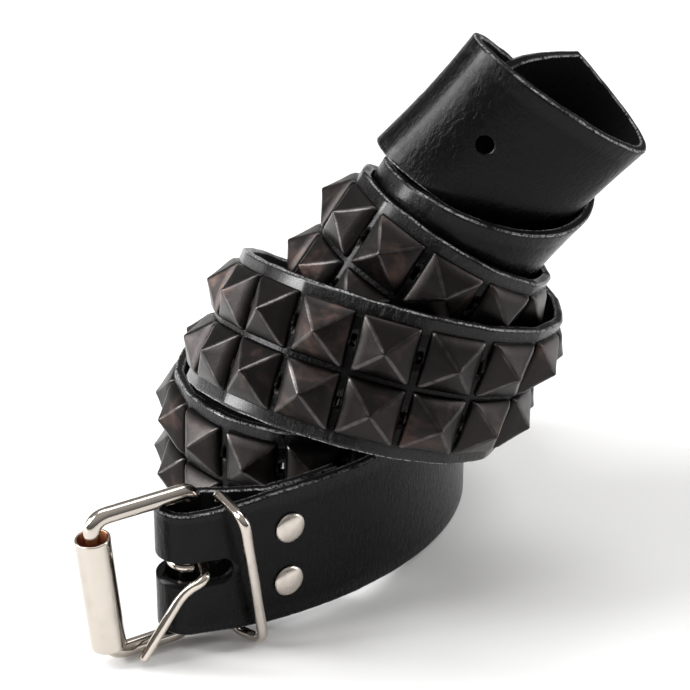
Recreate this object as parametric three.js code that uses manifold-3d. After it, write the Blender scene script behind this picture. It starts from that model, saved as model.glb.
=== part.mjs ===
// Studded leather belt, wound into a leaning coil that rests on its lower edge.
// Millimetres, +Z up. Origin: on the floor, under the middle of the whole belt's extent.
// The strap winds counter-clockwise seen from above, from the buckle at the front left
// upward and inward to the pointed end at the top right.
import * as THREE from 'three';
import { mergeVertices } from 'three/addons/utils/BufferGeometryUtils.js';
import Module from 'manifold-3d';

// Driving dimensions of the strap
const strapWidth = 38;
const strapThickness = 2.6;
const studPitch = 16.2;          // from column to column along the strap
const columnGap = 1.5;           // bare leather between two columns
const rowGap = 1.2;              // bare leather between the two rows
const studFieldWidth = 31.1;     // both rows and the gap between them
const studHeight = 6.3;
const studSkirt = 1.5;           // straight foot of a stud
const studInset = 0.35;          // the foot narrows by this much at its top
const studColumns = 34;
const studStart = 217.9;         // from the fold to the first column
const prongHoleLength = 3.4;
const lastHole = 89;             // from the tip of the point to the nearest buckle hole
const holeSpacing = 27;
const holeCount = 5;
const buckleHole = 4.8;          // diameter
const tipBlunt = 1.2;            // half-width left at the very tip

// Driving dimensions of the coil
const coilRadius = 36;
const coilRise = 106;            // from the resting turn to the pointed end
const firstRow = -180;           // angle of the first section, degrees
const rowStep = 180;
const foldAngle = -89;
const shoulderAngle = 1906;      // where the point begins
const liftEnds = -10;            // angle where the strap comes down to the floor

// Driving dimensions of the buckle end
const foldRadius = 6.6;          // middle of the leather around the heel bar
const foldLean = 27;             // the loop turns this much past half a turn, degrees
const pinch = 21;                // length over which the two layers close up
const layerGap = 0.3;
const tabLength = 43;            // folded-back layer, measured along the front
const lowTaper = 1.0;            // the strap narrows at the fold by this much below
const highTaper = 2.0;           // and by this much above
const slotLength = 10.5;         // prong slot, from the heel bar to the right
const slotHeight = 6.7;
const rivetFromFold = 26;
const rivetSpacing = 15.6;
const rivetDiameter = 8.5;
const rivetDome = 1.3;
const rivetShank = 3.6;          // diameter
const rivetBack = 7.2;           // diameter of the cap on the inner side
const clear = 0.3;               // between neighbouring pieces
const wireDiameter = 4.4;        // buckle frame
const frameTurn = 212;           // direction from the heel bar to the roller, degrees
const frameReachLow = 22.7;
const frameReachHigh = 26.7;
const frameBend = 5;
const rollerDiameter = 9.1;
const rollerWall = 0.7;
const rollerFromLow = 2.75;      // from the frame's lower outer corner to the roller
const rollerFromHigh = 5.25;     // and from the upper outer corner
const prongDiameter = 2.6;
const prongExit = { right: -1.2, out: 4.6, up: 0.3 };       // from the ring, fold and mid-slot
const prongBend = { right: -2.9, out: 9.0, down: 4.0 };     // from the heel and mid-slot
const prongTip = { right: -14.43, out: 10.15 };             // from the heel, on the floor
const keeperDiameter = 2.8;

// Sections of the coil, one for every half turn. right, back, halfWidth and halfDepth are
// shares of coilRadius, rise is a share of coilRise, the two leans are degrees.
const columns = ['right', 'back', 'rise', 'halfWidth', 'halfDepth', 'leanRight', 'leanBack'];
const sections = [
  [-1.94, 0.38, 0.00, 1.65, 2.86, 0, 0],
  [-0.19, 0.90, 0.00, 1.43, 1.35, 0, 0],
  [-0.26, 0.61, 0.00, 0.93, 0.91, 0, 0],
  [-0.64, 0.33, 0.12, 0.715, 0.835, 17.5, -8],
  [-0.155, -0.215, 0.39, 0.835, 1.005, 25.5, 12.5],
  [0.525, -0.375, 0.53, 1.035, 1.08, 24, 13.5],
  [0.68, -0.205, 0.545, 0.905, 0.94, 35.5, 5],
  [0.505, -0.035, 0.61, 0.74, 0.67, 33, 12],
  [0.49, -0.195, 0.605, 0.57, 0.63, 29.5, 2],
  [0.93, -0.16, 0.775, 0.60, 0.52, 36, -10.5],
  [1.15, -0.12, 0.96, 0.695, 0.48, 37.5, -11],
  [1.20, -0.265, 1.00, 0.68, 0.375, 44.5, 0],
  [1.42, -0.485, 1.01, 0.56, 0.405, 46, -1],
];

const rad = THREE.MathUtils.degToRad;
const vec = (x, y, z) => new THREE.Vector3(x, y, z);
const along = (origin, ...terms) => {
  const p = origin.clone();
  for (const [direction, distance] of terms) p.addScaledVector(direction, distance);
  return p;
};
const half = strapWidth / 2;
const skin = strapThickness / 2;
const up = vec(0, 0, 1);

// Coil: a cubic B-spline runs through the sections
function sectionAt(angle) {
  const last = sections.length - 1;
  const t = THREE.MathUtils.clamp((angle - firstRow) / rowStep, 0, last - 1e-9);
  const i = Math.floor(t);
  const f = t - i;
  const row = (k, c) => {
    if (k < 0) return 2 * sections[0][c] - sections[1][c];
    if (k > last) return 2 * sections[last][c] - sections[last - 1][c];
    return sections[k][c];
  };
  const weights = [(1 - f) ** 3, 3 * f ** 3 - 6 * f * f + 4,
    -3 * f ** 3 + 3 * f * f + 3 * f + 1, f ** 3];
  const out = {};
  columns.forEach((name, c) => {
    out[name] = weights.reduce((sum, w, k) => sum + w * row(i - 1 + k, c), 0) / 6;
  });
  return out;
}

// The strap rides up on the lower bar of the buckle
const buckleLift = wireDiameter + 2 * clear - lowTaper - 0.1;
const ease = (t) => (1 - Math.cos(Math.PI * THREE.MathUtils.clamp(t, 0, 1))) / 2;
const liftAt = (angle) => buckleLift * ease((liftEnds - angle) / (liftEnds - foldAngle));

function coilPoint(angle) {
  const c = sectionAt(angle);
  const right = rad(c.leanRight);
  const back = rad(c.leanBack);
  const axis = vec(Math.sin(right), Math.cos(right) * Math.sin(back),
    Math.cos(right) * Math.cos(back));
  const u = vec(0, 1, 0).cross(axis).normalize();
  const v = axis.clone().cross(u);
  const middle = vec(c.right * coilRadius, c.back * coilRadius,
    half + c.rise * coilRise + liftAt(angle));
  const point = along(middle, [u, c.halfWidth * coilRadius * Math.cos(rad(angle))],
    [v, c.halfDepth * coilRadius * Math.sin(rad(angle))]);
  return { point, axis };
}

// Length along the middle of the strap, from the fold
const fineStep = 0.5;
const fine = [{ angle: foldAngle, length: 0 }];
for (let angle = foldAngle; angle < 1975; angle += fineStep) {
  const step = coilPoint(angle).point.distanceTo(coilPoint(angle + fineStep).point);
  fine.push({ angle: angle + fineStep, length: fine[fine.length - 1].length + step });
}
function angleAt(length) {
  if (length <= 0) return foldAngle + length / (fine[1].length / fineStep);
  let low = 0;
  let high = fine.length - 1;
  while (high - low > 1) {
    const mid = (low + high) >> 1;
    if (fine[mid].length > length) high = mid; else low = mid;
  }
  const part = (length - fine[low].length) / (fine[high].length - fine[low].length);
  return fine[low].angle + part * fineStep;
}
const lengthAt = (angle) => fine[Math.round((angle - foldAngle) / fineStep)].length;
const shoulder = lengthAt(shoulderAngle);
const strapEnd = shoulder + half - tipBlunt;

// point, direction of travel, across (to the upper edge) and outward normal
function strapAt(length) {
  const angle = angleAt(length);
  const { point, axis } = coilPoint(angle);
  const travel = coilPoint(angle + 0.2).point.sub(coilPoint(angle - 0.2).point).normalize();
  const across = along(axis, [travel, -axis.dot(travel)]).normalize();
  const outward = travel.clone().cross(across);
  return { point, travel, across, outward, length };
}
const taperAt = (length) => 1 - ease(length / rivetFromFold);
function edgesAt(length) {
  const narrow = taperAt(length);
  const point = Math.max(0, length - shoulder);
  return { low: -half + lowTaper * narrow + point, high: half - highTaper * narrow - point };
}

// Fold: the loop around the heel bar and the folded-back layer on the inner side
const fold = strapAt(0);
const heel = along(fold.point, [fold.outward, -foldRadius]).setZ(0);
const closed = strapThickness + layerGap;
const loopEnd = { ahead: foldRadius * Math.sin(rad(foldLean)),
  apart: foldRadius * (1 + Math.cos(rad(foldLean))) };
const closing = Math.tan(rad(foldLean)) * (pinch - loopEnd.ahead) / (loopEnd.apart - closed);
function apartAt(length) {
  const t = THREE.MathUtils.clamp((length - loopEnd.ahead) / (pinch - loopEnd.ahead), 0, 1);
  return closed + (loopEnd.apart - closed) * (1 - t) ** closing;
}
const atHeel = (right, out, z) => along(heel, [fold.travel, right], [fold.outward, out]).setZ(z);
const besideStrap = (length, out, z) => {
  const s = strapAt(length);
  return along(s.point, [s.outward, out]).setZ(z);
};

// Stations along the strap. Each holds the outer and inner points of its lines, which lie at
// shares of the width from the lower edge.
const fieldLow = half - studFieldWidth / 2;
const rowMiddle = (studFieldWidth + rowGap) / 4;
const lineOffsets = [-half, -half + fieldLow, -rowMiddle - prongHoleLength / 2,
  -rowMiddle + prongHoleLength / 2, -rowGap / 2];
const outerLines = [...lineOffsets, ...lineOffsets.map((v) => -v).reverse()]
  .map((v) => (v + half) / strapWidth);
const innerPicks = [0, 2, 3, 6, 7, 9];
const edgePicks = [0, 9];

const stations = [];
function addStation(frame, edges, outerPicks, innerPicksHere, mark) {
  const place = (side) => (k) => along(frame.point, [frame.outward, side * skin],
    [frame.across, edges.low + outerLines[k] * (edges.high - edges.low)]);
  stations.push({ frame, mark, outerPicks, innerPicks: innerPicksHere,
    outer: new Map(outerPicks.map((k) => [k, place(1)(k)])),
    inner: new Map(innerPicksHere.map((k) => [k, place(-1)(k)])) });
}
const plainStation = (length) => addStation(strapAt(length), edgesAt(length), edgePicks, edgePicks);

// folded-back layer, from its free end to the loop; it travels against the front layer
const tabLengths = [tabLength, tabLength - 6, rivetFromFold + 5.2, rivetFromFold - 5.2,
  pinch - 3, pinch - 6, pinch - 9, pinch - 12, pinch - 15];
for (const length of tabLengths) {
  const s = strapAt(length);
  const here = along(s.point, [s.outward, -apartAt(length)]);
  const ahead = strapAt(length - 0.2);
  const next = along(ahead.point, [ahead.outward, -apartAt(length - 0.2)]);
  const travel = next.sub(here).normalize();
  const across = along(s.across, [travel, -s.across.dot(travel)]).normalize();
  addStation({ point: here, across, outward: travel.clone().cross(across) },
    edgesAt(length), edgePicks, edgePicks);
}
// loop, from the inner side around to the front
const loopSteps = 14;
for (let i = 0; i < loopSteps; i += 1) {
  const turn = rad((180 + foldLean) * (1 - i / loopSteps));
  const outward = along(vec(0, 0, 0), [fold.outward, Math.cos(turn)],
    [fold.travel, -Math.sin(turn)]);
  const point = along(heel.clone().setZ(fold.point.z), [outward, foldRadius]);
  addStation({ point, across: up.clone(), outward }, edgesAt(0), edgePicks, edgePicks);
}
// front layer up to the studs
const plainStart = rivetFromFold + 10;
for (const length of [0, 4, 8, 12, 16, rivetFromFold - 5.2, rivetFromFold + 5.2, plainStart]) {
  plainStation(length);
}
const plainSteps = 32;
for (let i = 1; i < plainSteps; i += 1) {
  plainStation(plainStart + (studStart - plainStart) * i / plainSteps);
}
// studs: both sides and the middle of every column
const studSpan = studPitch - columnGap;
const allPicks = outerLines.map((_, k) => k);
for (let c = 0; c < studColumns; c += 1) {
  const start = studStart + c * studPitch;
  const add = (length, outer, inner, mark) =>
    addStation(strapAt(length), edgesAt(length), outer, inner, mark);
  add(start, allPicks, innerPicks, 'left');
  add(start + studSpan / 2, [0, 1, 4, 5, 8, 9], edgePicks, 'middle');
  add(start + studSpan, allPicks, innerPicks, 'right');
}
// plain strap up to the point
const studEnd = studStart + studColumns * studPitch;
const endSteps = Math.round((shoulder - studEnd) / 5);
for (let i = 0; i < endSteps; i += 1) plainStation(studEnd + (shoulder - studEnd) * i / endSteps);
for (let i = 0; i <= 4; i += 1) plainStation(shoulder + (strapEnd - shoulder) * i / 4);

// Strap mesh
const triangles = [];
const tri = (a, b, c) => triangles.push(a, b, c);
const quad = (a, b, c, d) => { tri(a, b, c); tri(a, c, d); };
// joins two rows of points whose keys are shares of the same width
function zip(rowA, rowB, flip) {
  let i = 0;
  let j = 0;
  while (i < rowA.length - 1 || j < rowB.length - 1) {
    const nextA = i < rowA.length - 1 ? rowA[i + 1].share : Infinity;
    const nextB = j < rowB.length - 1 ? rowB[j + 1].share : Infinity;
    const corner = nextA < nextB ? rowA[i + 1].point : rowB[j + 1].point;
    if (flip) tri(rowB[j].point, rowA[i].point, corner);
    else tri(rowA[i].point, rowB[j].point, corner);
    if (nextA < nextB) i += 1; else j += 1;
  }
}
const rowOf = (map, picks, from, to) => picks.filter((k) => k >= from && k <= to)
  .map((k) => ({ share: outerLines[k], point: map.get(k) }));
const holeBands = [[2, 3], [6, 7]];
const studBands = [[1, 4], [5, 8]];

function faces(a, b) {
  const between = a.mark === 'right' && b.mark === 'left';
  const underStud = (a.mark === 'left' && b.mark === 'middle')
    || (a.mark === 'middle' && b.mark === 'right');
  let outerBands = [[0, 9]];
  let innerBands = [[0, 9]];
  if (between) {
    outerBands = [[0, 1], [1, 2], [3, 4], [4, 5], [5, 6], [7, 8], [8, 9]];
    innerBands = [[0, 2], [3, 6], [7, 9]];
  }
  if (underStud) outerBands = [[0, 1], [4, 5], [8, 9]];
  for (const [from, to] of outerBands) {
    zip(rowOf(a.outer, a.outerPicks, from, to), rowOf(b.outer, b.outerPicks, from, to), false);
  }
  for (const [from, to] of innerBands) {
    zip(rowOf(a.inner, a.innerPicks, from, to), rowOf(b.inner, b.innerPicks, from, to), true);
  }
  if (between) {
    for (const [low, high] of holeBands) {
      quad(a.outer.get(high), a.outer.get(low), a.inner.get(low), a.inner.get(high));
      quad(b.outer.get(low), b.outer.get(high), b.inner.get(high), b.inner.get(low));
      quad(a.outer.get(low), b.outer.get(low), b.inner.get(low), a.inner.get(low));
      quad(b.outer.get(high), a.outer.get(high), a.inner.get(high), b.inner.get(high));
    }
  }
  quad(a.outer.get(0), a.inner.get(0), b.inner.get(0), b.outer.get(0));
  quad(a.outer.get(9), b.outer.get(9), b.inner.get(9), a.inner.get(9));
}

// a four-sided stud with a straight foot, standing square on the middle of its column
function stud(left, middle, right, low, high) {
  const edge = (station, keys) => keys.map((k) => station.outer.get(k));
  const rising = allPicks.filter((k) => k >= low && k <= high);
  const falling = [...rising].reverse();
  const sides = [
    [left.outer.get(low), middle.outer.get(low), right.outer.get(low)],
    edge(right, rising),
    [right.outer.get(high), middle.outer.get(high), left.outer.get(high)],
    edge(left, falling),
  ];
  const { outward } = middle.frame;
  const corners = sides.map((side) => side[0]);
  const centre = corners.reduce((sum, p) => sum.add(p), vec(0, 0, 0)).divideScalar(4);
  const apex = along(centre, [outward, studHeight]);
  const tops = corners.map((p) => {
    const inward = centre.clone().sub(p).normalize();
    return along(p, [outward, studSkirt], [inward, studInset]);
  });
  sides.forEach((side, i) => {
    const near = tops[i];
    const far = tops[(i + 1) % 4];
    const turn = Math.floor(side.length / 2);
    for (let k = 0; k < side.length - 1; k += 1) tri(side[k], side[k + 1], k < turn ? near : far);
    tri(near, side[turn], far);
    tri(near, far, apex);
  });
}

stations.slice(1).forEach((b, i) => faces(stations[i], b));
stations.forEach((s, i) => {
  if (s.mark !== 'middle') return;
  for (const [low, high] of studBands) stud(stations[i - 1], s, stations[i + 1], low, high);
});
const first = stations[0];
const final = stations[stations.length - 1];
quad(first.outer.get(0), first.outer.get(9), first.inner.get(9), first.inner.get(0));
quad(final.outer.get(9), final.outer.get(0), final.inner.get(0), final.inner.get(9));

function geometryOf(points) {
  const geometry = new THREE.BufferGeometry();
  geometry.setAttribute('position',
    new THREE.Float32BufferAttribute(points.flatMap((p) => [p.x, p.y, p.z]), 3));
  return geometry;
}

// Cuts
const wasm = await Module();
wasm.setup();
function solid(geometry) {
  const bare = geometry.clone();
  bare.deleteAttribute('normal');
  bare.deleteAttribute('uv');
  const merged = mergeVertices(bare, 1e-4);
  return new wasm.Manifold(new wasm.Mesh({ numProp: 3,
    vertProperties: new Float32Array(merged.attributes.position.array),
    triVerts: new Uint32Array(merged.index.array) }));
}
function toGeometry(body) {
  const mesh = body.getMesh();
  const geometry = new THREE.BufferGeometry();
  geometry.setAttribute('position',
    new THREE.Float32BufferAttribute(Array.from(mesh.vertProperties), 3));
  geometry.setIndex(Array.from(mesh.triVerts));
  return geometry.toNonIndexed();
}
function drill(station, across, diameter, depth, sides) {
  const tool = new THREE.CylinderGeometry(diameter / 2, diameter / 2, depth, sides);
  tool.applyQuaternion(new THREE.Quaternion().setFromUnitVectors(vec(0, 1, 0), station.outward));
  const at = along(station.point, [station.across, across]);
  tool.translate(at.x, at.y, at.z);
  return tool;
}
const rivetStation = strapAt(rivetFromFold);
let strapSolid = solid(geometryOf(triangles));
for (const across of [-rivetSpacing / 2, rivetSpacing / 2]) {
  strapSolid = strapSolid.subtract(
    solid(drill(rivetStation, across, rivetShank + 2 * clear, 16, 12)));
}
for (let i = 0; i < holeCount; i += 1) {
  const station = strapAt(strapEnd - lastHole - i * holeSpacing);
  strapSolid = strapSolid.subtract(solid(drill(station, 0, buckleHole, 8, 14)));
}
// prong slot: rounded at its right end, open around the whole loop
const slotShape = new THREE.Shape();
const slotHalf = slotHeight / 2;
slotShape.moveTo(-foldRadius * 2, -slotHalf);
slotShape.lineTo(slotLength - slotHalf, -slotHalf);
slotShape.absarc(slotLength - slotHalf, 0, slotHalf, -Math.PI / 2, Math.PI / 2, false);
slotShape.lineTo(-foldRadius * 2, slotHalf);
const slotTool = new THREE.ExtrudeGeometry(slotShape,
  { depth: 4 * foldRadius, bevelEnabled: false, curveSegments: 5 });
slotTool.translate(0, 0, -2 * foldRadius);
slotTool.applyMatrix4(new THREE.Matrix4().makeBasis(fold.travel, up, fold.outward));
slotTool.translate(heel.x, heel.y, fold.point.z);
strapSolid = strapSolid.subtract(solid(slotTool));

// Round wire bent along a path whose corners are rounded
function roundedPath(points, bend, cornerSteps = 5) {
  const path = [points[0]];
  for (let i = 1; i < points.length - 1; i += 1) {
    const [before, corner, after] = [points[i - 1], points[i], points[i + 1]];
    const reach = Math.min(bend, corner.distanceTo(before) * 0.48, corner.distanceTo(after) * 0.48);
    const from = corner.clone().lerp(before, reach / corner.distanceTo(before));
    const to = corner.clone().lerp(after, reach / corner.distanceTo(after));
    const curve = new THREE.QuadraticBezierCurve3(from, corner, to);
    path.push(...curve.getPoints(cornerSteps));
  }
  path.push(points[points.length - 1]);
  return path;
}
function wire(path, diameter, sides) {
  const rings = [];
  let normal = null;
  path.forEach((p, i) => {
    const before = path[Math.max(0, i - 1)];
    const after = path[Math.min(path.length - 1, i + 1)];
    const travel = after.clone().sub(before).normalize();
    if (!normal) normal = Math.abs(travel.z) < 0.9 ? up.clone() : vec(1, 0, 0);
    normal.addScaledVector(travel, -normal.dot(travel)).normalize();
    const side = travel.clone().cross(normal);
    rings.push(Array.from({ length: sides }, (_, k) => {
      const a = 2 * Math.PI * k / sides;
      return along(p, [normal, Math.cos(a) * diameter / 2], [side, Math.sin(a) * diameter / 2]);
    }));
  });
  const out = [];
  for (let i = 0; i < rings.length - 1; i += 1) {
    for (let k = 0; k < sides; k += 1) {
      const n = (k + 1) % sides;
      out.push(rings[i][k], rings[i][n], rings[i + 1][n]);
      out.push(rings[i][k], rings[i + 1][n], rings[i + 1][k]);
    }
  }
  for (let k = 1; k < sides - 1; k += 1) {
    out.push(rings[0][0], rings[0][k + 1], rings[0][k]);
    const end = rings[rings.length - 1];
    out.push(end[0], end[k], end[k + 1]);
  }
  return geometryOf(out);
}

// Buckle frame: one bent wire whose two ends meet in the fold
const wireRadius = wireDiameter / 2;
const lowBar = wireRadius + 0.15;
const highBar = fold.point.z + half - highTaper + wireRadius + 2 * clear;
const outwardDirection = vec(Math.cos(rad(frameTurn)), Math.sin(rad(frameTurn)), 0);
const frameAt = (reach, z) => along(heel, [outwardDirection, reach]).setZ(z);
const topEnd = frameAt(-2.2, highBar - 7);
const framePath = roundedPath([
  frameAt(0, highBar - 9.5),
  frameAt(0, lowBar),
  frameAt(frameReachLow, lowBar),
  frameAt(frameReachHigh, highBar),
  frameAt(-2.2, highBar),
  topEnd,
], frameBend);

// Roller: a thin tube turning on the outer bar of the frame
const lowCorner = frameAt(frameReachLow, lowBar);
const highCorner = frameAt(frameReachHigh, highBar);
const rollerAxis = highCorner.clone().sub(lowCorner).normalize();
const rollerLength = lowCorner.distanceTo(highCorner) - rollerFromLow - rollerFromHigh;
const rollerMiddle = along(lowCorner, [rollerAxis, rollerFromLow + rollerLength / 2]);
const rollerOuter = rollerDiameter / 2;
const rollerProfile = [
  [rollerOuter - rollerWall, 0], [rollerOuter, 0], [rollerOuter, rollerLength],
  [rollerOuter - rollerWall, rollerLength], [rollerOuter - rollerWall, 0],
].map(([r, y]) => new THREE.Vector2(r, y - rollerLength / 2));

// Prong: an open ring on the heel bar, then a shank through the slot down to the floor
const prongRadius = prongDiameter / 2;
const ringRadius = wireRadius + clear + prongRadius;
const slotMiddle = fold.point.z;
const prongPath = [];
for (let i = 0; i <= 12; i += 1) {
  const turn = rad(-285 + 285 * i / 12);
  prongPath.push(atHeel(ringRadius * Math.cos(turn), ringRadius * Math.sin(turn), slotMiddle));
}
const ringEnd = prongPath.pop();
prongPath.push(...roundedPath([
  ringEnd,
  atHeel(ringRadius + prongExit.right, foldRadius + prongExit.out, slotMiddle + prongExit.up),
  atHeel(prongBend.right, prongBend.out, slotMiddle - prongBend.down),
  atHeel(prongTip.right, prongTip.out, prongRadius + 0.2),
], 5, 4));

// Keeper: a bent wire across the front, its two ends hooked into the fold
const keeperRadius = keeperDiameter / 2;
const keeperLow = keeperRadius + 0.15;
const keeperHigh = strapAt(10).point.z + edgesAt(10).high + keeperRadius + 2 * clear;
const keeperPath = roundedPath([
  besideStrap(12.2, -3.3, keeperLow + 4.6),
  besideStrap(12.4, -3.3, keeperLow),
  besideStrap(16.4, 5.4, keeperLow),
  besideStrap(9.6, 11.6, keeperHigh),
  besideStrap(8.2, -3.6, keeperHigh),
  besideStrap(8.2, -3.6, keeperHigh - 5),
], 4);

// Rivet: domed cap, shank through both layers, flat cap on the inner side
const stack = 2 * strapThickness + layerGap;
const rivetProfile = [
  [0, -stack - clear - 0.8], [rivetBack / 2, -stack - clear - 0.8],
  [rivetBack / 2, -stack - clear], [rivetShank / 2, -stack - clear],
  [rivetShank / 2, clear], [rivetDiameter / 2, clear], [rivetDiameter / 2, clear + 0.35],
  [rivetDiameter * 0.4, clear + rivetDome * 0.62], [rivetDiameter * 0.24, clear + rivetDome * 0.9],
  [0, clear + rivetDome],
].map(([r, y]) => new THREE.Vector2(r, y));

// Pieces
const leather = new THREE.MeshStandardMaterial({ color: 0x161616, roughness: 0.42, metalness: 0.2 });
const nickel = { roughness: 0.22, metalness: 1 };
const belt = new THREE.Group();
function piece(name, geometry, material) {
  geometry.computeVertexNormals();
  const mesh = new THREE.Mesh(geometry, material);
  mesh.name = name;
  belt.add(mesh);
  return mesh;
}
piece('strap', toGeometry(strapSolid), leather);
piece('buckle_frame', wire(framePath, wireDiameter, 12),
  new THREE.MeshStandardMaterial({ color: 0xc9c2b8, ...nickel }));
const roller = piece('roller', new THREE.LatheGeometry(rollerProfile, 16),
  new THREE.MeshStandardMaterial({ color: 0xd2ccc2, ...nickel }));
roller.position.copy(rollerMiddle);
roller.quaternion.setFromUnitVectors(vec(0, 1, 0), rollerAxis);
piece('prong', wire(prongPath, prongDiameter, 10),
  new THREE.MeshStandardMaterial({ color: 0xcfc7bb, ...nickel }));
piece('keeper', wire(keeperPath, keeperDiameter, 10),
  new THREE.MeshStandardMaterial({ color: 0xc6beb2, ...nickel }));
for (const [name, across] of [['rivet_upper', 1], ['rivet_lower', -1]]) {
  const rivet = piece(name, new THREE.LatheGeometry(rivetProfile, 16),
    new THREE.MeshStandardMaterial({ color: 0xd8d0c4, ...nickel }));
  rivet.position.copy(along(rivetStation.point, [rivetStation.outward, skin],
    [rivetStation.across, across * rivetSpacing / 2]));
  rivet.quaternion.setFromUnitVectors(vec(0, 1, 0), rivetStation.outward);
}

// The whole belt is moved so that its extent is centred over the origin
const extent = new THREE.Box3().setFromObject(belt, true);
const middle = extent.getCenter(vec(0, 0, 0));
belt.position.set(-middle.x, -middle.y, -extent.min.z);
const group = new THREE.Group();
group.add(belt);
export default group;
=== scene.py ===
"""Looks of a studded leather belt, wound into a leaning coil beside its roller buckle.

Lengths are millimetres while a piece is worked out and metres in its mesh. The coil, the
fold and the wires follow the same sizes as the part's source.
"""

import logging
import math
from dataclasses import dataclass
from enum import Enum
from typing import Callable, Sequence

import bmesh
import bpy
import numpy as np
from mathutils import Euler, Matrix, Vector, noise

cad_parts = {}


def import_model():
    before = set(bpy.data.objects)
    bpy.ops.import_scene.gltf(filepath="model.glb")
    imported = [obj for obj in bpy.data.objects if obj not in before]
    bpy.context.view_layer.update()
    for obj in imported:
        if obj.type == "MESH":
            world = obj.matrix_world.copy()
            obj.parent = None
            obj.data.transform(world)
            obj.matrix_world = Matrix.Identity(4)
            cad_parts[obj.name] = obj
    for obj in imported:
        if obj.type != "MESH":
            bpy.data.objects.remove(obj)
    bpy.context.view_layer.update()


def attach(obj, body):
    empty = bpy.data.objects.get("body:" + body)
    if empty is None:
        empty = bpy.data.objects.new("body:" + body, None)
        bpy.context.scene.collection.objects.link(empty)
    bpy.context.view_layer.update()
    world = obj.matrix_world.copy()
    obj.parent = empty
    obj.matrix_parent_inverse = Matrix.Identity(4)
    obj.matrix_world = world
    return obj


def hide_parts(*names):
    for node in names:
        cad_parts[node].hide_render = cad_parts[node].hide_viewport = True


LOG = logging.getLogger("belt")
Pair = tuple[float, float]
Triple = tuple[float, float, float]
Faces = list[list[int]]
Socket = bpy.types.NodeSocket
Material = bpy.types.Material
MM = 0.001
UP = Vector((0, 0, 1))
# the part's source moves the belt by this much, so that its extent is centred
CENTRING = Vector((-4.335, -2.285, 0))


class Body(Enum):
    """The bodies that the pieces ride on."""

    BELT = "belt"
    FRAME = "frame"
    ROLLER = "roller"
    PRONG = "prong"
    KEEPER = "keeper"


def ease(share: float) -> float:
    """Returns a smooth step from 0 to 1 for a share of the way."""
    return (1 - math.cos(math.pi * min(1.0, max(0.0, share)))) / 2


def steps(low: float, high: float, count: int) -> list[float]:
    """Returns count + 1 even values from low to high."""
    return [low + (high - low) * i / count for i in range(count + 1)]


# Nodes


class TreeWriter:
    """Adds nodes to one node tree."""

    def __init__(self, tree: bpy.types.NodeTree) -> None:
        """Starts on a tree."""
        self.tree = tree

    def feed(self, socket: Socket, value: object) -> None:
        """Sets or links one input socket. Nothing is done for None."""
        if isinstance(value, Value):
            value = value.socket
        if isinstance(value, Socket):
            self.tree.links.new(value, socket)
        elif value is not None:
            socket.default_value = value

    def add(self, kind: str, settings: dict | None = None,
            values: Sequence | dict | None = None, output: int | str = 0) -> Socket:
        """Adds a node.

        Args:
            kind: Type of the node.
            settings: Properties of the node, set first.
            values: Values or links of its sockets, in order or by name. A list joins links.
            output: Which output to return.

        Returns:
            The output socket.
        """
        made = self.tree.nodes.new(kind)
        for key, setting in (settings or {}).items():
            setattr(made, key, setting)
        pairs = values.items() if isinstance(values, dict) else enumerate(values or [])
        for key, value in pairs:
            for item in value if isinstance(value, list) else [value]:
                self.feed(made.inputs[key], item)
        return made.outputs[output]


class Value:
    """A number that a shader node gives. Operators on it add Math nodes."""

    def __init__(self, nodes: "NodeMaker", socket: Socket) -> None:
        """Wraps a socket of a node in the maker's tree."""
        self.nodes, self.socket = nodes, socket

    def math(self, operation: str, *others: "Value | float") -> "Value":
        """Returns the result of a Math node on this value and the others."""
        return self.nodes.node("ShaderNodeMath", {"operation": operation}, [self, *others])

    def __add__(self, other: "Value | float") -> "Value":
        """Returns the sum."""
        return self.math("ADD", other)

    def __mul__(self, other: "Value | float") -> "Value":
        """Returns the product."""
        return self.math("MULTIPLY", other)

    def __sub__(self, other: "Value | float") -> "Value":
        """Returns the difference."""
        return self.math("SUBTRACT", other)

    def __rsub__(self, other: float) -> "Value":
        """Returns a number less this value."""
        return self.nodes.node("ShaderNodeMath", {"operation": "SUBTRACT"}, [other, self])

    __radd__ = __add__
    __rmul__ = __mul__

    def between(self, low: float, high: float) -> "Value":
        """Returns 0 below low, 1 above high and a smooth step between them."""
        return self.nodes.node("ShaderNodeMapRange", {"interpolation_type": "SMOOTHSTEP"},
                               [self, low, high, 0.0, 1.0])


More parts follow.
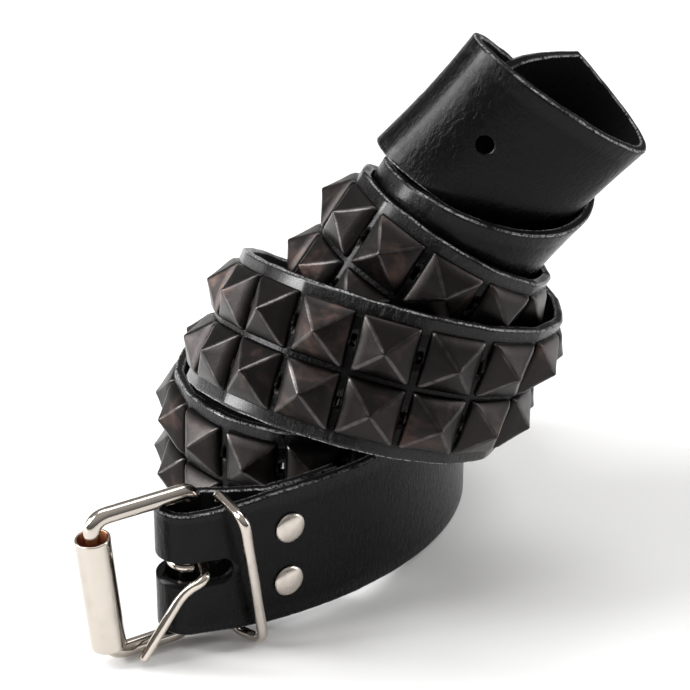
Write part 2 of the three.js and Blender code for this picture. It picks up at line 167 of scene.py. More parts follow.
class NodeMaker(TreeWriter):
    """Builds the node tree of one material."""

    def __init__(self, name: str) -> None:
        """Makes an empty material with its Principled shader."""
        self.material = bpy.data.materials.new(name)
        self.material.use_nodes = True
        super().__init__(self.material.node_tree)
        self.shader = self.tree.nodes["Principled BSDF"]

    def node(self, kind: str, settings: dict | None = None,
             values: Sequence | dict | None = None, output: int | str = 0) -> Value:
        """Adds a node and returns one output, wrapped."""
        return Value(self, self.add(kind, settings, values, output))

    def place(self, stretch: Triple = (1, 1, 1), flat: bool = False) -> Value:
        """Returns Object coordinates, or the UV map's if flat, stretched."""
        source = self.node("ShaderNodeTexCoord", output="UV" if flat else "Object")
        return self.node("ShaderNodeMapping", None, {"Vector": source, "Scale": stretch})

    def grain(self, place: Value, scale: float, detail: float = 3.0,
              rough: float = 0.55, warp: float = 0.0) -> Value:
        """Returns a noise of about 0 to 1."""
        return self.node("ShaderNodeTexNoise", None,
                         {"Vector": place, "Scale": scale, "Detail": detail,
                          "Roughness": rough, "Distortion": warp})

    def mark(self, name: str) -> Value:
        """Returns a named attribute of the mesh as a number."""
        return self.node("ShaderNodeAttribute", {"attribute_name": name}, output="Fac")

    def blend(self, share: Value | float, first: object, second: object) -> Value:
        """Returns the mix of two colours."""
        colours = [c if isinstance(c, Value) else (*c, 1.0) for c in (first, second)]
        return self.node("ShaderNodeMix", {"data_type": "RGBA"},
                         {0: share, 6: colours[0], 7: colours[1]}, 2)

    def bump(self, height: Value, depth: float, under: Value | None = None) -> Value:
        """Returns the normal of a relief whose depth is in metres."""
        return self.node("ShaderNodeBump", None,
                         {"Height": height, "Distance": depth, "Strength": 1.0,
                          "Normal": under}, "Normal")

    def finish(self, **sockets: object) -> Material:
        """Feeds the shader's sockets, given with _ for a space, and returns the material."""
        for name, value in sockets.items():
            self.feed(self.shader.inputs[name.replace("_", " ")], value)
        return self.material


@dataclass(frozen=True)
class LeatherFinish:
    """Black grain leather with a fine crease, crinkled margins and pale cut fibres."""

    black: Triple = (0.0015, 0.0015, 0.0017)
    worn: Triple = (0.005, 0.005, 0.0055)
    fibre: Triple = (0.46, 0.46, 0.47)
    flesh: Triple = (0.004, 0.004, 0.0042)

    def build(self) -> Material:
        """Returns the material."""
        m = NodeMaker("black_leather")
        place = m.place()
        edge, margin, flesh = m.mark("edge"), m.mark("margin"), m.mark("flesh")
        fibre = m.mark("fibre")
        creases = m.grain(m.place((1.0, 0.45, 1.0), flat=True), 900.0, 3.0, 0.6, 0.8)
        pores = m.grain(place, 2600.0, 2.0)
        broad = m.grain(place, 60.0, 3.0)
        crinkle = m.grain(m.place((1.0, 0.35, 1.0), flat=True), 620.0, 4.0, 0.62, 1.6)
        fray = m.grain(place, 1500.0, 4.0, 0.7)
        torn = m.grain(place, 120.0, 3.0)
        pale = fibre * fray.between(0.40, 0.58) * torn.between(0.30, 0.55)
        rub = broad.between(0.45, 0.75) * 0.5 + margin * crinkle.between(0.5, 0.7) * 0.8
        colour = m.blend(rub, self.black, self.worn)
        colour = m.blend(flesh, colour, self.flesh)
        colour = m.blend(pale, colour, self.fibre)
        rough = 0.22 + broad * 0.12 + (creases - 0.5) * 0.12 + flesh * 0.3 + edge * 0.3
        relief = m.bump(creases * 0.7 + pores * 0.2, 0.00035)
        relief = m.bump(margin * crinkle, 0.0011, relief)
        relief = m.bump((edge + flesh * 0.35) * fray, 0.0009, relief)
        return m.finish(Base_Color=colour, Roughness=rough, Normal=relief,
                        Specular_IOR_Level=0.08, Coat_Roughness=0.18,
                        Coat_Weight=(0.1 + margin * 0.35) * (1 - flesh))


@dataclass(frozen=True)
class StudFinish:
    """Dark plated steel, browned in patches and paler on its ridges, which is partly wear and
    partly a painted highlight.
    """

    dark: Triple = (0.024, 0.0215, 0.021)
    brown: Triple = (0.085, 0.055, 0.047)
    # paler metal on the ridges and the apex, partly wear and partly a painted highlight of the stud
    # edges
    ridge_wear_and_highlight: Triple = (0.10, 0.094, 0.092)

    def build(self) -> Material:
        """Returns the material."""
        m = NodeMaker("gunmetal_studs")
        place = m.place()
        ridge, tint = m.mark("ridge"), m.mark("tint")
        patches = m.grain(place, 75.0, 4.0, 0.6, 0.6)
        smear = m.grain(m.place((1.0, 0.3, 1.0)), 420.0, 4.0, 0.65)
        fine = m.grain(place, 1500.0, 2.0)
        browned = (patches + tint * 0.12 + smear * 0.12).between(0.60, 0.84)
        # the ridge mask paints the paler metal on the ridges, partly wear and partly a painted
        # highlight
        worn = (ridge * (0.35 + smear * 0.9)).between(0.45, 1.05)
        colour = m.blend(browned * 0.9, self.dark, self.brown)
        colour = m.blend(worn * 0.75, colour, self.ridge_wear_and_highlight)
        rough = 0.36 + (smear - 0.5) * 0.16 + browned * 0.05 - worn * 0.08
        return m.finish(Base_Color=colour, Roughness=rough, Metallic=1.0,
                        Normal=m.bump(fine * 0.5 + smear * 0.5, 0.00006))


@dataclass(frozen=True)
class NickelFinish:
    """Polished nickel with faint smears. Its inside may be coppery."""

    name: str
    plate: Triple
    rough: float = 0.14
    copper: Triple = (0.33, 0.13, 0.065)

    def build(self) -> Material:
        """Returns the material."""
        m = NodeMaker(self.name)
        place = m.place()
        smear = m.grain(m.place((1.0, 1.0, 0.25)), 260.0, 3.0, 0.6, 0.4)
        cloud = m.grain(place, 90.0, 3.0)
        inside = m.mark("inside")
        dulled = (cloud * 0.6 + smear * 0.4).between(0.48, 0.7)
        darker = tuple(c * 0.66 for c in self.plate)
        colour = m.blend(dulled * 0.6, self.plate, darker)
        colour = m.blend(inside, colour, self.copper)
        rough = self.rough + dulled * 0.1 + inside * 0.25 + (smear - 0.5) * 0.05
        return m.finish(Base_Color=colour, Roughness=rough, Metallic=1.0,
                        Normal=m.bump(smear, 0.00003))


# Meshes


def linked(name: str, data: bpy.types.ID) -> bpy.types.Object:
    """Returns a new object that holds the data, linked to the scene."""
    made = bpy.data.objects.new(name, data)
    bpy.context.scene.collection.objects.link(made)
    return made


def quads(rows: int, count: int, start: int = 0) -> Faces:
    """Returns the faces that join rings of count corners, each ring to the next."""
    return [[start + i * count + k, start + i * count + (k + 1) % count,
             start + (i + 1) * count + (k + 1) % count, start + (i + 1) * count + k]
            for i in range(rows - 1) for k in range(count)]


def give_mark(mesh: bpy.types.Mesh, name: str, values: Sequence[float]) -> None:
    """Gives each corner of a mesh a named number."""
    layer = mesh.attributes.new(name, "FLOAT", "POINT")
    layer.data.foreach_set("value", np.asarray(values, np.float32))


def mesh_object(name: str, points: Sequence[Vector], faces: Sequence[Sequence[int]],
                marks: dict[str, Sequence[float]] | None = None) -> bpy.types.Object:
    """Makes a closed, smooth mesh from points in millimetres.

    Args:
        name: Name of the object.
        points: Corners, in the source's own place.
        faces: Corner numbers of each face.
        marks: Named numbers, one for each corner.

    Returns:
        The object, whose place is in its mesh.
    """
    mesh = bpy.data.meshes.new(name)
    mesh.from_pydata([(p + CENTRING) * MM for p in points], [], faces)
    for label, values in (marks or {}).items():
        give_mark(mesh, label, values)
    outward(mesh)
    return linked(name, mesh)


def outward(mesh: bpy.types.Mesh) -> None:
    """Turns the faces of a closed mesh outwards and smooths them."""
    work = bmesh.new()
    work.from_mesh(mesh)
    bmesh.ops.recalc_face_normals(work, faces=work.faces)
    work.to_mesh(mesh)
    work.free()
    mesh.shade_smooth()


def tube(path: Sequence[Vector], radius: float, sides: int = 24
         ) -> tuple[list[Vector], Faces]:
    """Returns the corners and faces of a round wire with softly rounded ends."""
    ahead = (path[1] - path[0]).normalized()
    behind = (path[-1] - path[-2]).normalized()
    rounding = [(0.0, 0.55), (0.12, 0.82), (0.3, 0.95)]
    rings = [(path[0] + ahead * radius * a, s) for a, s in rounding]
    rings += [(path[0] + ahead * radius * 0.6, 1.0)] + [(p, 1.0) for p in path[1:-1]]
    rings += [(path[-1] - behind * radius * 0.6, 1.0)]
    rings += [(path[-1] - behind * radius * a, s) for a, s in reversed(rounding)]
    points: list[Vector] = []
    normal: Vector | None = None
    for i, (centre, share) in enumerate(rings):
        travel = (rings[min(i + 1, len(rings) - 1)][0] - rings[max(i - 1, 0)][0]).normalized()
        if normal is None:
            normal = UP.copy() if abs(travel.z) < 0.9 else Vector((1, 0, 0))
        normal = (normal - travel * normal.dot(travel)).normalized()
        side = travel.cross(normal)
        for k in range(sides):
            turn = 2 * math.pi * k / sides
            points.append(centre + (normal * math.cos(turn) + side * math.sin(turn))
                          * radius * share)
    faces = quads(len(rings), sides)
    faces += [list(range(sides)), [(len(rings) - 1) * sides + k for k in range(sides)]]
    return points, faces


def rounded(points: Sequence[Vector], bend: float, count: int = 14) -> list[Vector]:
    """Returns the path with its corners rounded over the length bend."""
    path = [points[0]]
    for before, corner, after in zip(points, points[1:], points[2:]):
        reach = min(bend, (corner - before).length * 0.48, (corner - after).length * 0.48)
        start = corner + (before - corner).normalized() * reach
        end = corner + (after - corner).normalized() * reach
        for t in steps(0, 1, count):
            path.append(start * (1 - t) ** 2 + corner * 2 * t * (1 - t) + end * t * t)
    return path + [points[-1]]


def turned(profile: Sequence[Pair], place: Vector, axis: Vector,
           sides: int = 48) -> tuple[list[Vector], Faces]:
    """Returns the corners and faces of a closed profile of (radius, height) turned once."""
    across = axis.orthogonal().normalized()
    other = axis.cross(across)
    points: list[Vector] = []
    rows: Faces = []
    for radius, height in profile:
        ring = sides if radius > 1e-6 else 1
        rows.append(list(range(len(points), len(points) + ring)))
        for k in range(ring):
            turn = 2 * math.pi * k / sides
            points.append(place + axis * height
                          + (across * math.cos(turn) + other * math.sin(turn)) * radius)
    faces = []
    for near, far in zip(rows, rows[1:] + ([rows[0]] if profile[0][0] > 0 else [])):
        for k in range(sides):
            corners = [near[k % len(near)], near[(k + 1) % len(near)],
                       far[(k + 1) % len(far)], far[k % len(far)]]
            face = list(dict.fromkeys(corners))
            if len(face) > 2:
                faces.append(face)
    return points, faces


def dress(piece: bpy.types.Object, material: Material, body: Body, slot: str,
          *nodes: str) -> None:
    """Gives a piece its material and body, and hides the nodes that it stands for."""
    piece.data.materials.clear()
    piece.data.materials.append(material)
    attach(piece, body.value)
    if nodes:
        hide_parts(*nodes)
    LOG.info("%s: %d faces", piece.name, len(piece.data.polygons))


# The strap's own place


@dataclass
class Station:
    """A place on the strap: its middle and the directions there."""

    point: Vector
    travel: Vector
    across: Vector
    outward: Vector
    length: float = 0.0

    @classmethod
    def squared(cls, point: Vector, travel: Vector, across: Vector, length: float) -> "Station":
        """Returns a station whose across is squared to its travel."""
        across = (across - travel * across.dot(travel)).normalized()
        return cls(point, travel, across, travel.cross(across), length)

    def at(self, across: float, out: float) -> Vector:
        """Returns the point at these distances from the middle."""
        return self.point + self.across * across + self.outward * out


@dataclass
class Coil:
    """The curve that the strap follows, from the fold up to its pointed end."""

    width: float = 38.0
    radius: float = 36.0
    rise: float = 106.0
    first_row: float = -180.0
    row_step: float = 180.0
    fold_angle: float = -89.0
    shoulder_angle: float = 1906.0
    last_angle: float = 1975.0
    lift_ends: float = -10.0
    lift: float = 3.9
    fine_step: float = 0.5
    # right, back, rise, half width, half depth, lean right and lean back of each half turn
    sections: tuple[tuple[float, ...], ...] = (
        (-1.94, 0.38, 0.00, 1.65, 2.86, 0, 0),
        (-0.19, 0.90, 0.00, 1.43, 1.35, 0, 0),
        (-0.26, 0.61, 0.00, 0.93, 0.91, 0, 0),
        (-0.64, 0.33, 0.12, 0.715, 0.835, 17.5, -8),
        (-0.155, -0.215, 0.39, 0.835, 1.005, 25.5, 12.5),
        (0.525, -0.375, 0.53, 1.035, 1.08, 24, 13.5),
        (0.68, -0.205, 0.545, 0.905, 0.94, 35.5, 5),
        (0.505, -0.035, 0.61, 0.74, 0.67, 33, 12),
        (0.49, -0.195, 0.605, 0.57, 0.63, 29.5, 2),
        (0.93, -0.16, 0.775, 0.60, 0.52, 36, -10.5),
        (1.15, -0.12, 0.96, 0.695, 0.48, 37.5, -11),
        (1.20, -0.265, 1.00, 0.68, 0.375, 44.5, 0),
        (1.42, -0.485, 1.01, 0.56, 0.405, 46, -1),
    )

    def __post_init__(self) -> None:
        """Measures the curve's length."""
        rows = np.array(self.sections)
        self.rows = np.vstack([2 * rows[0] - rows[1], rows, 2 * rows[-1] - rows[-2]])
        self.angles = [self.fold_angle]
        self.lengths = [0.0]
        last = self.place(self.fold_angle)[0]
        while self.angles[-1] < self.last_angle:
            here = self.place(self.angles[-1] + self.fine_step)[0]
            self.angles.append(self.angles[-1] + self.fine_step)
            self.lengths.append(self.lengths[-1] + (here - last).length)
            last = here
        middle = round((self.shoulder_angle - self.fold_angle) / self.fine_step)
        self.shoulder = self.lengths[middle]

    def section(self, angle: float) -> np.ndarray:
        """Returns the section at an angle, by a cubic B-spline through the rows."""
        count = len(self.sections) - 1
        t = min(max((angle - self.first_row) / self.row_step, 0.0), count - 1e-9)
        i, f = int(t), t - int(t)
        weights = np.array([(1 - f) ** 3, 3 * f ** 3 - 6 * f * f + 4,
                            -3 * f ** 3 + 3 * f * f + 3 * f + 1, f ** 3]) / 6
        return weights @ self.rows[i:i + 4]

    def place(self, angle: float) -> tuple[Vector, Vector]:
        """Returns the strap's middle and the coil's axis at an angle."""
        right, back, rise, wide, deep, lean_right, lean_back = map(float, self.section(angle))
        r, b = math.radians(lean_right), math.radians(lean_back)
        axis = Vector((math.sin(r), math.cos(r) * math.sin(b), math.cos(r) * math.cos(b)))
        u = Vector((0, 1, 0)).cross(axis).normalized()
        v = axis.cross(u)
        lift = self.lift * ease((self.lift_ends - angle) / (self.lift_ends - self.fold_angle))
        middle = Vector((right * self.radius, back * self.radius,
                         self.width / 2 + rise * self.rise + lift))
        turn = math.radians(angle)
        return (middle + u * wide * self.radius * math.cos(turn)
                + v * deep * self.radius * math.sin(turn), axis)

    def at(self, length: float) -> Station:
        """Returns the station at a length from the fold."""
        if length <= 0:
            angle = self.fold_angle + length / (self.lengths[1] / self.fine_step)
        else:
            angle = float(np.interp(length, self.lengths, self.angles))
        point, axis = self.place(angle)
        travel = (self.place(angle + 0.2)[0] - self.place(angle - 0.2)[0]).normalized()
        return Station.squared(point, travel, axis, length)


@dataclass
class Strap:
    """The leather: a folded end, a plain front, a studded middle and a plain point."""

    coil: Coil
    thickness: float = 2.6
    stud_pitch: float = 16.2
    column_gap: float = 1.5
    stud_columns: int = 34
    stud_start: float = 217.9
    row_gap: float = 1.2
    field_width: float = 31.1
    hole_length: float = 3.4
    last_hole: float = 89.0
    hole_spacing: float = 27.0
    hole_count: int = 5
    buckle_hole: float = 4.8
    tip_blunt: float = 1.2
    fold_radius: float = 6.6
    fold_lean: float = 27.0
    pinch: float = 21.0
    layer_gap: float = 0.3
    tab_length: float = 43.0
    low_taper: float = 1.0
    high_taper: float = 2.0
    slot_length: float = 10.5
    slot_height: float = 6.7
    rivet_from_fold: float = 26.0
    rivet_spacing: float = 15.6
    flatness: float = 0.6
    step: float = 2.0
    margin_fade: float = 12.0
    plain_crinkle: float = 0.25
    fibre_depth: float = 0.45
    slot_fibre: float = 0.6
    drill_length: float = 8.0
    # the rounded edge: how far each line stands out, and how deep it lies under the face
    rim: tuple[Pair, ...] = ((0.13, 0.1), (0.4, 0.3), (0.5, 0.75))
    # the uneven cut: how often, at which seed and how far it wavers
    waver: tuple[Triple, ...] = ((0.9, 7.0, 0.16), (0.13, 3.0, 0.25))
    # lines across the face between those that the studs and their holes need
    face_lines: tuple[float, ...] = (2.6, 4.4, 7.5, 8.65, 11.2, 12.7, 14.2, 16.4, 17.2, 18.0, 18.5)

    def __post_init__(self) -> None:
        """Works out the sizes that follow from the others."""
        self.half, self.skin = self.coil.width / 2, self.thickness / 2
        self.end = self.coil.shoulder + self.half - self.tip_blunt
        self.fold = self.coil.at(0)
        heel = self.fold.at(0, -self.fold_radius)
        self.heel = Vector((heel.x, heel.y, 0))
        lean = math.radians(self.fold_lean)
        self.loop_ahead = self.fold_radius * math.sin(lean)
        self.loop_apart = self.fold_radius * (1 + math.cos(lean))
        self.closed = self.thickness + self.layer_gap
        self.closing = (math.tan(lean) * (self.pinch - self.loop_ahead)
                        / (self.loop_apart - self.closed))
        self.row_middle = (self.field_width + self.row_gap) / 4
        self.span = self.stud_pitch - self.column_gap
        self.stud_end = self.stud_start + self.stud_columns * self.stud_pitch

    def edges(self, length: float) -> Pair:
        """Returns the strap's lower and upper edge at a length."""
        narrow = 1 - ease(length / self.rivet_from_fold)
        point = max(0.0, length - self.coil.shoulder)
        return (-self.half + self.low_taper * narrow + point,
                self.half - self.high_taper * narrow - point)

    def apart(self, length: float) -> float:
        """Returns the distance between the two layers at a length."""
        t = (length - self.loop_ahead) / (self.pinch - self.loop_ahead)
        gap = (1 - min(1.0, max(0.0, t))) ** self.closing
        return self.closed + (self.loop_apart - self.closed) * gap

    def tab_station(self, length: float) -> Station:
        """Returns a station of the folded-back layer."""
        here, ahead = self.coil.at(length), self.coil.at(length - 0.2)
        point = here.at(0, -self.apart(length))
        travel = (ahead.at(0, -self.apart(length - 0.2)) - point).normalized()
        return Station.squared(point, travel, here.across, length)

    def loop_station(self, share: float) -> Station:
        """Returns a station of the loop, from the inner side at 0 to the front at 1."""
        turn = math.radians(180 + self.fold_lean) * (1 - share)
        out = self.fold.outward * math.cos(turn) - self.fold.travel * math.sin(turn)
        point = Vector((self.heel.x, self.heel.y, self.fold.point.z)) + out * self.fold_radius
        return Station(point, UP.cross(out), UP.copy(), out, 0.0)

    def column(self, index: int) -> tuple[Station, Station]:
        """Returns the stations at the two sides of a column of studs."""
        start = self.stud_start + index * self.stud_pitch
        return self.coil.at(start), self.coil.at(start + self.span)

    def flattened(self, index: int, share: float) -> Station:
        """Returns a station under a column, where the studs hold the leather nearly flat."""
        left, right = self.column(index)
        own = self.coil.at(left.length + self.span * share)
        chord = left.point.lerp(right.point, share)
        travel = own.travel.lerp((right.point - left.point).normalized(),
                                 self.flatness * math.sin(math.pi * share)).normalized()
        return Station.squared(own.point.lerp(chord, self.flatness), travel,
                               left.across.lerp(right.across, share), own.length)

    def stations(self) -> tuple[list[Station], list[float], set[int]]:
        """Returns the rings' stations, their places along the leather and the gaps' rings."""
        rings = [self.tab_station(v) for v in steps(self.tab_length, 5.0, 19)]
        rings += [self.loop_station(v) for v in steps(0, 1, 30)[:-1]]
        plain = round(self.stud_start / self.step)
        rings += [self.coil.at(v) for v in steps(0, self.stud_start, plain)[:-1]]
        gaps: set[int] = set()
        for c in range(self.stud_columns):
            rings += [self.flattened(c, share) for share in steps(0, 1, 7)]
            gaps |= {len(rings) - 1, len(rings)}
            rings.append(self.coil.at(self.column(c)[1].length + self.column_gap / 2))
        gaps -= {len(rings) - 2, len(rings) - 1}
        count = round((self.coil.shoulder - self.stud_end) / self.step)
        rings += [self.coil.at(v) for v in steps(self.stud_end, self.coil.shoulder, count)[:-1]]
        rings += [self.coil.at(v) for v in steps(self.coil.shoulder, self.end, 12)]
        along = [0.0]
        for near, far in zip(rings, rings[1:]):
            along.append(along[-1] + (far.point - near.point).length)
        return rings, along, gaps

    def lines(self) -> list[float]:
        """Returns the places of the lines across one face, from the lower edge up."""
        hole = [self.row_middle + s * self.hole_length / 2 for s in (1, -1)]
        upper = sorted([self.row_gap / 2, self.field_width / 2, *hole, *self.face_lines])
        return [-v for v in reversed(upper)] + upper

    def leather(self) -> bpy.types.Object:
        """Returns the strap's closed mesh, before its buckle holes and slot are cut."""
        rings, along, gaps = self.stations()
        lines = self.lines()
        front = [(away, self.skin - deep) for away, deep in self.rim]
        widest = self.rim[-1][0]
        rim = [*front, (widest, 0.0), *[(away, -out) for away, out in reversed(front)]]
        points: list[Vector] = []
        marks: dict[str, list[float]] = {
            name: [] for name in ("edge", "margin", "flesh", "along", "over", "fibre")}

        def add(station: Station, across: float, out: float, edge: float, flesh: float,
                run: float) -> None:
            """Adds one corner and its marks."""
            points.append(station.at(across, out))
            fade = self.margin_fade
            studded = (ease((station.length - self.stud_start + fade) / fade)
                       * ease((self.stud_end + fade - station.length) / fade))
            near_edge = ease((abs(across) - self.field_width / 2 + 0.8) / 1.2)
            marks["edge"].append(edge)
            marks["fibre"].append(float(edge and abs(out) > self.skin - self.fibre_depth))
            crinkled = self.plain_crinkle + (1 - self.plain_crinkle) * studded
            marks["margin"].append(near_edge * crinkled * (1 - flesh))
            marks["flesh"].append(flesh)
            marks["along"].append(run)
            marks["over"].append(across)

        for station, run in zip(rings, along):
            low, high = self.edges(station.length)
            scale = (high - low) / (2 * self.half)
            middle = (low + high) / 2
            rough = [sum(noise.noise(Vector((run * often, seed + side, 0))) * far
                         for often, seed, far in self.waver) for side in (0, 40)]
            inset = self.half - widest
            for v in lines:
                add(station, middle + v * scale, self.skin, 0.0, 0.0, run)
            for away, out in rim:
                add(station, middle + (inset * scale + away + rough[0]), out, 1.0, 0.0, run)
            for v in reversed(lines):
                add(station, middle + v * scale, -self.skin, 0.0, 1.0, run)
            for away, out in reversed(rim):
                add(station, middle - (inset * scale + away + rough[1]), out, 1.0, 0.0, run)
        faces = self.faces(len(rings), len(lines), len(rim), gaps)
        made = mesh_object("belt_leather", points, faces, marks)
        self.unroll(made.data)
        LOG.info("leather: %d rings", len(rings))
        return made

    def faces(self, rings: int, lines: int, rim: int, gaps: set[int]) -> Faces:
        """Returns the faces between the rings, with the prong holes left open and walled."""
        size = 2 * (lines + rim)

        def grain(i: int, k: int) -> int:
            """Returns the corner on the grain side."""
            return i * size + k

        def flesh(i: int, k: int) -> int:
            """Returns the corner on the flesh side."""
            return i * size + 2 * lines + rim - 1 - k

        middle = lines // 2
        # the holes take three bands of each half, the fourth to sixth from the middle line
        bands = [middle + k for k in (3, 4, 5, -5, -6, -7)]
        cut = {(i, k) for i in gaps for k in bands}
        skipped = {(i, k) for i, k in cut} | {(i, 2 * lines + rim - 2 - k) for i, k in cut}
        made = [quad for n, quad in enumerate(quads(rings, size))
                if divmod(n, size) not in skipped]
        for i, k in sorted(cut):
            corners = {(0, 1): (i + 1, k, i + 1, k + 1), (0, -1): (i, k, i, k + 1),
                       (1, 0): (i, k + 1, i + 1, k + 1), (-1, 0): (i, k, i + 1, k)}
            for (dk, di), (a, b, c, d) in corners.items():
                if (i + di, k + dk) not in cut:
                    made.append([grain(a, b), grain(c, d), flesh(c, d), flesh(a, b)])
        for i in (0, rings - 1):
            made += [[grain(i, k), grain(i, k + 1), flesh(i, k + 1), flesh(i, k)]
                     for k in range(lines - 1)]
            high = [i * size + lines - 1 + j for j in range(rim + 2)]
            low = [i * size + (2 * lines + rim - 1 + j) % size for j in range(rim + 2)]
            made += [high, low]
        return made

    @staticmethod
    def unroll(mesh: bpy.types.Mesh) -> None:
        """Gives the mesh a UV map of the flat leather, in metres."""
        values = {}
        for name in ("along", "over"):
            values[name] = np.zeros(len(mesh.vertices), np.float32)
            mesh.attributes[name].data.foreach_get("value", values[name])
        corner = np.zeros(len(mesh.loops), np.int32)
        mesh.loops.foreach_get("vertex_index", corner)
        flat = np.stack([values["along"][corner], values["over"][corner]], 1) * MM
        mesh.uv_layers.new(name="flat").data.foreach_set("uv", flat.astype(np.float32).ravel())

    def slot_cutter(self) -> bpy.types.Object:
        """Returns the solid that cuts the prong's slot through the fold."""
        half = self.slot_height / 2
        outline = [(-self.fold_radius * 2, -half), *[
            (self.slot_length - half + half * math.cos(t), half * math.sin(t))
            for t in steps(-math.pi / 2, math.pi / 2, 14)], (-self.fold_radius * 2, half)]
        base = Vector((self.heel.x, self.heel.y, self.fold.point.z))
        points = [base + self.fold.travel * x + UP * z + self.fold.outward * depth
                  for depth in (-2 * self.fold_radius, 2 * self.fold_radius) for x, z in outline]
        n = len(outline)
        faces = [list(range(n)), list(range(n, 2 * n)), *quads(2, n)]
        return mesh_object("slot_cutter", points, faces, {"edge": [1.0] * len(points),
                                                          "fibre": [self.slot_fibre] * len(points)})

    def build(self, finish: Material) -> bpy.types.Object:
        """Makes the leather, cuts it and dresses it."""
        made = self.leather()
        places = [self.coil.at(self.end - self.last_hole - i * self.hole_spacing)
                  for i in range(self.hole_count)]
        cutter = self.slot_cutter()
        tree = hole_tree()
        spots = place_points("hole_spots", places, [0.0] * len(places))
        piece = grown(made, tree, {"Places": spots, "Slot": cutter, "Finish": finish,
                                   "Hole radius": self.buckle_hole / 2 * MM,
                                   "Hole depth": self.drill_length * MM}, "strap_leather")
        for spare in (made, spots, cutter):
            bpy.data.objects.remove(spare)
        dress(piece, finish, Body.BELT, "strap_leather", "strap")
        return piece


# Geometry Nodes


class TreeMaker(TreeWriter):
    """Builds one Geometry Nodes tree."""

    def __init__(self, name: str, inputs: dict[str, str]) -> None:
        """Makes the tree with named inputs after its geometry."""
        super().__init__(bpy.data.node_groups.new(name, "GeometryNodeTree"))
        face = self.tree.interface
        face.new_socket("Geometry", in_out="INPUT", socket_type="NodeSocketGeometry")
        for label, kind in inputs.items():
            face.new_socket(label, in_out="INPUT", socket_type=kind)
        face.new_socket("Geometry", in_out="OUTPUT", socket_type="NodeSocketGeometry")
        self.start = self.tree.nodes.new("NodeGroupInput")
        self.end = self.tree.nodes.new("NodeGroupOutput")

    def given(self, name: str) -> Socket:
        """Returns a named input of the tree."""
        return self.start.outputs[name]

    def held(self, name: str) -> Socket:
        """Returns the mesh of an object that is a named input."""
        return self.add("GeometryNodeObjectInfo", None, {"Object": self.given(name)}, "Geometry")

    def repeated(self, places: Socket, piece: Socket) -> Socket:
        """Returns the piece at each corner of places, turned by the mark turn there."""
        points = self.add("GeometryNodeMeshToPoints", None, {"Mesh": places})
        turn = self.add("GeometryNodeInputNamedAttribute", {"data_type": "FLOAT_VECTOR"},
                        {"Name": "turn"})
        return self.add("GeometryNodeInstanceOnPoints", None, {
            "Points": points, "Instance": piece, "Rotation": turn})

    def close(self, geometry: Socket, finish: str) -> bpy.types.GeometryNodeTree:
        """Realizes the instances, sets the material and ends the tree."""
        real = self.add("GeometryNodeRealizeInstances", None, {"Geometry": geometry})
        dressed = self.add("GeometryNodeSetMaterial", None,
                           {"Geometry": real, "Material": self.given(finish)})
        self.feed(self.end.inputs[0], dressed)
        return self.tree


def hole_tree() -> bpy.types.GeometryNodeTree:
    """Returns the tree that cuts the buckle holes and the slot through the leather."""
    maker = TreeMaker("buckle_holes", {
        "Places": "NodeSocketObject", "Slot": "NodeSocketObject",
        "Hole radius": "NodeSocketFloat", "Hole depth": "NodeSocketFloat",
        "Finish": "NodeSocketMaterial"})
    drill = maker.add("GeometryNodeMeshCylinder", None, {
        "Vertices": 28, "Radius": maker.given("Hole radius"),
        "Depth": maker.given("Hole depth")}, "Mesh")
    drills = maker.repeated(maker.held("Places"), drill)
    tools = maker.add("GeometryNodeJoinGeometry", None, {"Geometry": [drills, maker.held("Slot")]})
    tools = maker.add("GeometryNodeRealizeInstances", None, {"Geometry": tools})
    cut = maker.add("GeometryNodeMeshBoolean", {"operation": "DIFFERENCE", "solver": "EXACT"}, {
        "Mesh 1": maker.given("Geometry"), "Mesh 2": tools})
    return maker.close(cut, "Finish")


def stud_tree() -> bpy.types.GeometryNodeTree:
    """Returns the tree that sets a stud at every point, turned as the point says."""
    maker = TreeMaker("stud_rows", {"Stud": "NodeSocketObject", "Finish": "NodeSocketMaterial"})
    rows = maker.repeated(maker.given("Geometry"), maker.held("Stud"))
    return maker.close(rows, "Finish")


def place_points(name: str, places: Sequence[Station], tints: Sequence[float]
                 ) -> bpy.types.Object:
    """Returns loose points at the stations, with the marks turn and tint."""
    mesh = bpy.data.meshes.new(name)
    mesh.from_pydata([(s.point + CENTRING) * MM for s in places], [], [])
    turns = []
    for s in places:
        turns += Matrix((s.travel, s.across, s.outward)).transposed().to_euler()
    mesh.attributes.new("turn", "FLOAT_VECTOR", "POINT").data.foreach_set("vector", turns)
    give_mark(mesh, "tint", tints)
    return linked(name, mesh)


def grown(host: bpy.types.Object, tree: bpy.types.GeometryNodeTree, values: dict[str, object],
          name: str) -> bpy.types.Object:
    """Runs a tree on an object and returns the result as a plain mesh object.

    Args:
        host: Object whose mesh goes into the tree.
        tree: The Geometry Nodes tree.
        values: Its inputs by name.
        name: Name of the new object.

    Returns:
        The new object. The host keeps its own mesh and loses the modifier.
    """
    modifier = host.modifiers.new("grow", "NODES")
    modifier.node_group = tree
    for item in tree.interface.items_tree:
        if item.item_type == "SOCKET" and item.in_out == "INPUT" and item.name in values:
            modifier[item.identifier] = values[item.name]
    bpy.context.view_layer.update()
    seen = host.evaluated_get(bpy.context.evaluated_depsgraph_get())
    mesh = bpy.data.meshes.new_from_object(seen)
    host.modifiers.remove(modifier)
    return linked(name, mesh)


